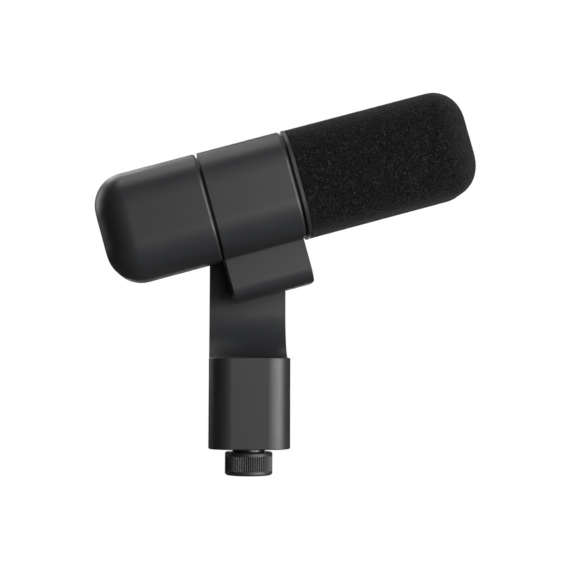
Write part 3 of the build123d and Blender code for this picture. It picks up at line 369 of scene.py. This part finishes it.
node_finish = {
    "stem_paint": ["stem"],
    "head_paint": ["band", "front_ring", "rear_cap"],
    "bracket_paint": ["ribbon_bracket"],
    "collar": ["thread_collar"],
    "anodise": ["xlr_shell", "pivot_cap", "yoke_block", "chassis", "capsule_base", "capsule_frame"],
    "neck": ["base_plate"],
    "steel": ["spindle", "spindle_screws", "pivot_bolt", "spring_washer", "pivot_nut", "yoke_screws",
              "strike_discs", "clamp_screws"],
    "black_steel": ["spindle_clip", "base_screws", "cover_screws", "xlr_screws", "panel_screws"],
    "basket": ["basket"],
    "brass": ["thread_adapter", "pivot_bush", "capsule_housing", "backplate", "clamp_ring"],
    "gold": ["xlr_contacts"],
    "nylon": ["inner_washer", "outer_washer", "backplate_insulator"],
    "black_plastic": ["thrust_washer", "arm_cover", "xlr_insulator", "switch_panel", "switch_cases",
                      "board_rails", "grip_ring"],
    "lever": ["low_cut_switch", "pad_switch"],
    "socket": ["board_sockets"],
    "epoxy": ["transistors"],
    "rubber": ["lead_grommet", "shock_mounts"],
    "sheath": ["arm_lead", "head_lead", "capsule_lead"],
    "transformer": ["output_transformer"],
    "magnet": ["cap_magnets"],
    "head_board": ["preamp_board"],
    "output_board": ["output_board"],
    "cans": ["capacitors", "line_filters"],
    "film": ["diaphragm"],
    "foam": ["windscreen_foam"],
}
for finish, names in node_finish.items():
    for node_name in names:
        mesh = NODES[node_name].data
        mesh.materials.clear()
        mesh.materials.append(finishes[finish])

# ------------------------------------------------------------------ foam windscreen
FOAM_ROUND = 17.5 * MM  # round between the sides and the nose
FOAM_CORNER = 21.5 * MM  # corner of the rounded-square section
LIP_ROUND = 0.3 * MM  # round of the edge beside the front ring
RING_GAP = 0.05 * MM
FOAM_STEP = 0.45 * MM
SOFT_GAP = 0.3 * MM  # between the foam's bore and the basket in it
BORE_HUB = 0.4 * MM  # half width of the innermost ring, which a flat face closes
NOSE_HUB = 0.3 * MM
BORE_STEP = 3 * MM  # ring spacing inside, where nothing shows
foam_low, foam_high = head_box("windscreen_foam")
basket_high = head_box("basket")[1]
grip_high = head_box("grip_ring")[1]
ring_high = head_box("front_ring")[1]
FOAM_HALF = (foam_high[1] - foam_low[1]) / 2
BORE_INSET = FOAM_HALF - basket_high[1] - SOFT_GAP
MOUTH_INSET = FOAM_HALF - grip_high[1]


def ring_points(half, corner, count):
    """Points and outward normals round a rounded square in the y-z plane, evenly spaced, as an array."""
    corner = max(min(corner, half), 1e-5)
    flat = 2 * (half - corner)
    arc = math.pi / 2 * corner
    found = []
    for index in range(count):
        s = (index / count * 4 * (flat + arc) + flat / 2) % (4 * (flat + arc))
        quarter, s = int(s // (flat + arc)), s % (flat + arc)
        if s < flat:
            place, normal = (half, s - flat / 2), (1.0, 0.0)
        else:
            turn = (s - flat) / corner
            normal = (math.cos(turn), math.sin(turn))
            place = (half - corner + corner * normal[0], half - corner + corner * normal[1])
        c, n = ((1, 0), (0, 1), (-1, 0), (0, -1))[quarter % 4]
        found.append((place[0] * c - place[1] * n, place[0] * n + place[1] * c,
                      normal[0] * c - normal[1] * n, normal[0] * n + normal[1] * c))
    return np.array(found)


def steps(start, end, pitch):
    """Evenly spaced values from start towards end, without the end."""
    count = max(1, round(abs(end - start) / pitch))
    return [start + (end - start) * k / count for k in range(count)]


def quarter_turn(radius, pitch):
    return steps(0.0, math.pi / 2, pitch / radius)


def foam_rows():
    """Rings of the windscreen's skin from the bore's end, out of the mouth and round to the nose.
    Each is: x, inset from the outside, the normal's share along x, grain depth."""
    back, front = ring_high[0] + RING_GAP, foam_high[0]
    bore_end = basket_high[0] + SOFT_GAP
    grip_end = grip_high[0]
    rows = [(bore_end, inset, -1, 0.0) for inset in steps(FOAM_HALF - BORE_HUB, BORE_INSET, BORE_STEP)]
    rows += [(x, BORE_INSET, 0, 0.0) for x in steps(bore_end, grip_end, BORE_STEP)]
    rows += [(grip_end, inset, -1, 0.0) for inset in steps(BORE_INSET, MOUTH_INSET, BORE_STEP)]
    rows += [(x, MOUTH_INSET, 0, 0.0) for x in steps(grip_end, back, BORE_STEP)]
    rows += [(back, inset, -1, 0.5) for inset in steps(MOUTH_INSET, LIP_ROUND, FOAM_STEP)]
    rows += [(back + LIP_ROUND * (1 - math.cos(t)), LIP_ROUND * (1 - math.sin(t)), -math.cos(t), 0.6)
             for t in quarter_turn(LIP_ROUND, FOAM_STEP)]
    rows += [(x, 0.0, 0, 1.0) for x in steps(back + LIP_ROUND, front - FOAM_ROUND, FOAM_STEP)]
    rows += [(front - FOAM_ROUND * (1 - math.sin(t)), FOAM_ROUND * (1 - math.cos(t)), math.sin(t), 1.0)
             for t in quarter_turn(FOAM_ROUND, FOAM_STEP)]
    rows += [(front, inset, 1, 1.0) for inset in steps(FOAM_ROUND, FOAM_HALF - NOSE_HUB, FOAM_STEP * 1.2)]
    return rows


def build(name, verts, faces, material, smooth=True):
    """New mesh object from points in world space."""
    mesh = bpy.data.meshes.new(name)
    mesh.from_pydata([v[:] for v in verts], [], faces)
    if material:
        mesh.materials.append(material)
    mesh.validate()
    if smooth:
        mesh.shade_smooth()
    made = bpy.data.objects.new(name, mesh)
    bpy.context.scene.collection.objects.link(made)
    return made


# cells or waves in a metre, and depth
PORES, NAP, SWELL = (820, 0.16 * MM), (2300, 0.17 * MM), (260, 0.10 * MM)
CELL_WALL = 0.04  # share of a cell that stays at the skin
PORE_SLOPE = 0.42


def grain_depth(point):
    """How far the foam's surface lies under its skin there: pores, a fine nap and a swell."""
    near = noise.voronoi(point * PORES[0])[0]
    pore = min(1.0, max(0.0, (near[1] - near[0] - CELL_WALL) / PORE_SLOPE))
    nap = noise.noise(point * NAP[0]) * 0.5 + 0.5
    swell = noise.noise(point * SWELL[0]) * 0.5 + 0.5
    return PORES[1] * pore + NAP[1] * nap + SWELL[1] * swell


def foam_windscreen():
    count = round((8 * (FOAM_HALF - FOAM_CORNER) + 2 * math.pi * FOAM_CORNER) / FOAM_STEP / 4) * 4
    rows = foam_rows()
    verts = []
    for x, inset, share, grain in rows:
        corner = FOAM_CORNER - inset
        if inset >= FOAM_ROUND:
            corner = (FOAM_CORNER - FOAM_ROUND) * (FOAM_HALF - inset) / (FOAM_HALF - FOAM_ROUND)
        ring = ring_points(FOAM_HALF - inset, corner, count)
        radial = math.sqrt(max(0.0, 1 - share * share))
        for y, z, normal_y, normal_z in ring:
            point = Vector((x, y, z))
            if grain:
                normal = Vector((share, radial * normal_y, radial * normal_z))
                point -= normal * (grain * grain_depth(point))
            verts.append(HEAD @ point)
    faces = [tuple(range(count - 1, -1, -1))]
    for row in range(len(rows) - 1):
        start, after = row * count, (row + 1) * count
        faces += [(start + k, start + (k + 1) % count, after + (k + 1) % count, after + k)
                  for k in range(count)]
    faces.append(tuple(range((len(rows) - 1) * count, len(rows) * count)))
    return build("foam_windscreen", verts, faces, finishes["foam"])


foam = foam_windscreen()
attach(foam, "windscreen")
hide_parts("windscreen_foam")

# ------------------------------------------------------------------ camera, lights and stage
camera_data = bpy.data.cameras.new("camera")
camera = bpy.data.objects.new("camera", camera_data)
bpy.context.scene.collection.objects.link(camera)
camera_data.sensor_width = 36.0
camera_data.lens = 81.97
camera_data.clip_end = 50
yaw, pitch, roll = 0.0544, 0.0602, 0.0033  # radians
look = Vector((math.sin(yaw) * math.cos(pitch), math.cos(yaw) * math.cos(pitch), math.sin(pitch)))
right = Vector((math.cos(yaw), -math.sin(yaw), 0))
up = right.cross(look)
right, up = right * math.cos(roll) + up * math.sin(roll), up * math.cos(roll) - right * math.sin(roll)
camera.matrix_world = Matrix((right, up, -look)).transposed().to_4x4()
camera.location = Vector((-0.02005, -0.74164, 0.06316))
bpy.context.scene.camera = camera

CENTRE = Vector((0.02, 0, 0.12))  # what every lamp faces
AMBIENT = 0.03  # strength of the world away from the white backdrop
BACKDROP_FROM = 0.93  # share of +Y in a glossy ray's direction at which the backdrop starts to show
# name, degrees to the right of the camera's side, degrees up, distance, size, watts
LAMPS = [
    ("key", 35, 3, 1.7, (1.1, 1.0), 21.0),
    ("front_fill", 10, 3, 1.7, (0.6, 0.7), 2.1),
    ("high_fill", 10, 35, 1.6, (0.8, 0.5), 2.3),
    ("strip_low", 57, 0, 1.3, (0.20, 0.55), 5.5),
    ("strip_high", 57, 22, 1.3, (0.20, 0.55), 4.5),
    ("strip_side", 70, 0, 1.3, (0.25, 0.55), 3.7),
    ("over_left", -90, 75, 1.4, (0.6, 0.6), 3.6),
    ("over_back", 180, 62, 1.4, (1.0, 0.5), 2.7),
    ("back_left", -150, 38, 1.6, (0.6, 0.4), 4.9),
    ("left_rim", -125, 15, 1.5, (0.6, 0.8), 4.2),
    ("back_fill", 178, 6, 1.7, (1.0, 0.6), 7.0),
]


def area_light(name, azimuth, elevation, distance, size, power):
    """Soft box that faces the object's centre."""
    data = bpy.data.lights.new(name, "AREA")
    data.shape = "RECTANGLE"
    data.size, data.size_y = size
    data.energy = power
    lamp = bpy.data.objects.new(name, data)
    bpy.context.scene.collection.objects.link(lamp)
    turn, rise = math.radians(azimuth), math.radians(elevation)
    away = Vector((math.sin(turn) * math.cos(rise), -math.cos(turn) * math.cos(rise), math.sin(rise)))
    place = CENTRE + distance * away
    lamp.matrix_world = Matrix.Translation(place) @ away.to_track_quat("Z", "Y").to_matrix().to_4x4()
    lamp.visible_camera = False


for lamp in LAMPS:
    area_light(*lamp)

FLOOR_HEIGHT = -0.30
FLOOR_REACH = 6
SHADOW_SHARE = 0.45  # how much of the floor near the object is lit, and so holds its shadow
SHADOW_FADE = (0.25, 0.75)  # distance over which that falls to none
FLOOR_PALE = (0.9, 0.9, 0.9, 1)
FLOOR_DIM = (0.12, 0.12, 0.12, 1)  # what all other rays meet
corners = ((-1, -1), (1, -1), (1, 1), (-1, 1))
floor = build("floor", [Vector((x * FLOOR_REACH, y * FLOOR_REACH, FLOOR_HEIGHT)) for x, y in corners],
              [(0, 1, 2, 3)], None, smooth=False)


def floor_white():
    """White with the object's shadow for camera and transmission rays, and dim for all others."""
    ground = Shade("floor_white")
    nodes = ground.tree.nodes
    nodes.remove(ground.bsdf)
    away = nodes.new("ShaderNodeVectorMath")
    away.operation = "LENGTH"
    ground.link(ground.coords, away.inputs[0])
    white = nodes.new("ShaderNodeEmission")
    lit = nodes.new("ShaderNodeBsdfDiffuse")
    lit.inputs["Color"].default_value = FLOOR_PALE
    near = nodes.new("ShaderNodeMixShader")
    ground.link(ground.spread(away.outputs["Value"], SHADOW_SHARE, 0.0, *SHADOW_FADE), near.inputs[0])
    ground.link(white.outputs[0], near.inputs[1])
    ground.link(lit.outputs[0], near.inputs[2])
    dim = nodes.new("ShaderNodeBsdfDiffuse")
    dim.inputs["Color"].default_value = FLOOR_DIM
    rays = nodes.new("ShaderNodeLightPath")
    chooser = nodes.new("ShaderNodeMixShader")
    ground.link(ground.maths("MAXIMUM", rays.outputs["Is Camera Ray"], rays.outputs["Is Transmission Ray"]),
                chooser.inputs[0])
    ground.link(dim.outputs[0], chooser.inputs[1])
    ground.link(near.outputs[0], chooser.inputs[2])
    ground.link(chooser.outputs[0], nodes["Material Output"].inputs["Surface"])
    return ground.material


floor.data.materials.append(floor_white())


def studio_world():
    """White for camera and transmission rays and glossy ones straight behind, else a low ambient."""
    world = bpy.data.worlds.new("studio")
    world.use_nodes = True
    nodes, link = world.node_tree.nodes, world.node_tree.links.new
    nodes.clear()

    def background(colour, strength):
        node = nodes.new("ShaderNodeBackground")
        node.inputs["Color"].default_value = colour
        node.inputs["Strength"].default_value = strength
        return node.outputs[0]

    def maths(operation, first, second):
        node = nodes.new("ShaderNodeMath")
        node.operation = operation
        link(first, node.inputs[0])
        link(second, node.inputs[1])
        return node.outputs[0]

    rays = nodes.new("ShaderNodeLightPath")
    direction = nodes.new("ShaderNodeTexCoord")
    split = nodes.new("ShaderNodeSeparateXYZ")
    link(direction.outputs["Generated"], split.inputs[0])
    backdrop = nodes.new("ShaderNodeMapRange")
    backdrop.interpolation_type = "SMOOTHSTEP"
    backdrop.inputs["From Min"].default_value = BACKDROP_FROM
    link(split.outputs["Y"], backdrop.inputs["Value"])
    glossy = maths("MULTIPLY", rays.outputs["Is Glossy Ray"], backdrop.outputs["Result"])
    seen = maths("MAXIMUM", rays.outputs["Is Camera Ray"], glossy)
    seen = maths("MAXIMUM", seen, rays.outputs["Is Transmission Ray"])
    chooser = nodes.new("ShaderNodeMixShader")
    link(seen, chooser.inputs[0])
    link(background((0.96, 0.98, 1.0, 1), AMBIENT), chooser.inputs[1])
    link(background((1, 1, 1, 1), 1.0), chooser.inputs[2])
    link(chooser.outputs[0], nodes.new("ShaderNodeOutputWorld").inputs["Surface"])
    return world


bpy.context.scene.world = studio_world()

bpy.context.scene.view_settings.view_transform = "Standard"
